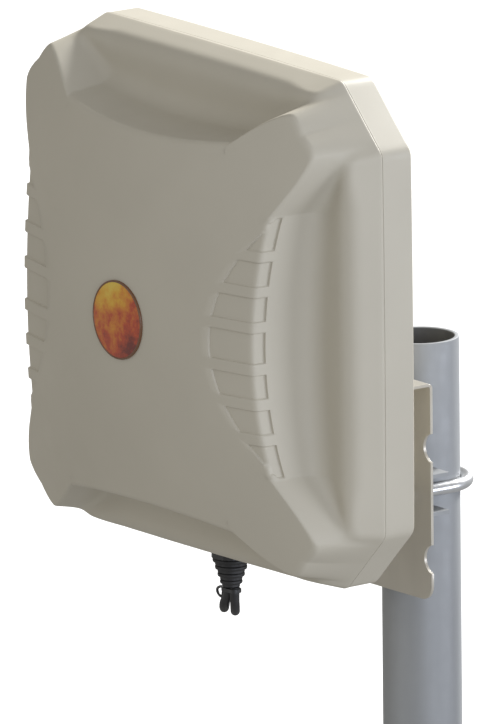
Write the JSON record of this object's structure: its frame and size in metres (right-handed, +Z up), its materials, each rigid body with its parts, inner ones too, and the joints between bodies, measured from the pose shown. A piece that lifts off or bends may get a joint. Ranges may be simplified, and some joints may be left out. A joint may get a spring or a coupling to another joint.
{
  "type": "outdoor wireless bridge antenna",
  "caption": "Square outdoor panel antenna with a domed radome and four scooped sides, held on a mast stub by a bent sheet bracket and a U-bolt clamp.",
  "frame": {"origin": "centre of the mast stub's cut foot, on the mast's axis", "axes": "+Z up along the mast, -Y the way the antenna looks, +X to the right of someone who faces the radome"},
  "size_m": [0.3312, 0.2722, 0.5026],
  "materials": {
    "radome_plastic": "satin, fine moulded grain, UV-stable pale warm grey",
    "badge_print": "domed gloss label, blurred orange print with no mark",
    "black_rubber": "satin black",
    "black_nylon": "satin black",
    "galvanised_steel": "dull zinc grey, faintly mottled",
    "stainless_sheet": "rolled satin sheet",
    "bright_steel": "bright zinc plate",
    "aluminium": "mill finish",
    "circuit_board": "green solder mask",
    "brass": "turned, light satin",
    "white_nylon": "natural white"
  },
  "bodies": {
    "mast": {"mast": "galvanised_steel"},
    "antenna": {"back_cover": "radome_plastic", "bracket": "stainless_sheet", "bracket_bolt_1": "bright_steel", "bracket_bolt_2": "bright_steel", "bracket_bolt_3": "bright_steel", "bracket_bolt_4": "bright_steel", "cable_a": "black_rubber", "cable_b": "black_rubber", "cable_clip": "black_nylon", "cable_tie": "black_nylon", "clamp_washer_left": "bright_steel", "clamp_washer_right": "bright_steel", "connector_a": "brass", "connector_b": "brass", "cover_screw_1": "bright_steel", "cover_screw_2": "bright_steel", "cover_screw_3": "bright_steel", "cover_screw_4": "bright_steel", "cover_screw_5": "bright_steel", "cover_screw_6": "bright_steel", "cover_screw_7": "bright_steel", "cover_screw_8": "bright_steel", "director_patch": "aluminium", "director_post": "white_nylon", "driven_patch": "aluminium", "feed_board": "circuit_board", "feed_probe_1": "brass", "feed_probe_2": "brass", "gland_body": "black_nylon", "gland_boot": "black_rubber", "gland_locknut": "black_nylon", "inner_coax_1": "black_nylon", "inner_coax_2": "black_nylon", "patch_spacer_1": "white_nylon", "patch_spacer_2": "white_nylon", "patch_spacer_3": "white_nylon", "patch_spacer_4": "white_nylon", "radome_cover": "radome_plastic", "reflector_plate": "aluminium", "reflector_screw_1": "bright_steel", "reflector_screw_2": "bright_steel", "reflector_screw_3": "bright_steel", "reflector_screw_4": "bright_steel", "round_badge": "badge_print", "saddle_clamp": "galvanised_steel", "seam_gasket": "black_rubber", "threaded_insert_1": "brass", "threaded_insert_2": "brass", "threaded_insert_3": "brass", "threaded_insert_4": "brass", "tie_tail": "black_nylon", "u_bolt": "bright_steel", "vent_plug": "black_nylon"},
    "clamp_nut_left": {"clamp_nut_left": "bright_steel"},
    "clamp_nut_right": {"clamp_nut_right": "bright_steel"},
    "coupling_nut_a": {"coupling_nut_a": "brass"},
    "coupling_nut_b": {"coupling_nut_b": "brass"}
  },
  "joints": [
    {"name": "azimuth_turn", "type": "hinge", "parent": "mast", "child": "antenna", "pos_m": [0, 0, 0.199], "axis": [0, 0, 1], "range_deg": [-90, 90]},
    {"name": "clamp_nut_left_spin", "type": "hinge", "parent": "antenna", "child": "clamp_nut_left", "pos_m": [-0.0293, -0.0422, 0.199], "axis": [0, 1, 0], "continuous": true},
    {"name": "clamp_nut_right_spin", "type": "hinge", "parent": "antenna", "child": "clamp_nut_right", "pos_m": [0.0293, -0.0422, 0.199], "axis": [0, 1, 0], "continuous": true},
    {"name": "coupling_nut_a_spin", "type": "hinge", "parent": "antenna", "child": "coupling_nut_a", "pos_m": [-0.062, -0.118, 0.249], "axis": [0, 0, 1], "continuous": true},
    {"name": "coupling_nut_b_spin", "type": "hinge", "parent": "antenna", "child": "coupling_nut_b", "pos_m": [-0.076, -0.118, 0.249], "axis": [0, 0, 1], "continuous": true}
  ]
}
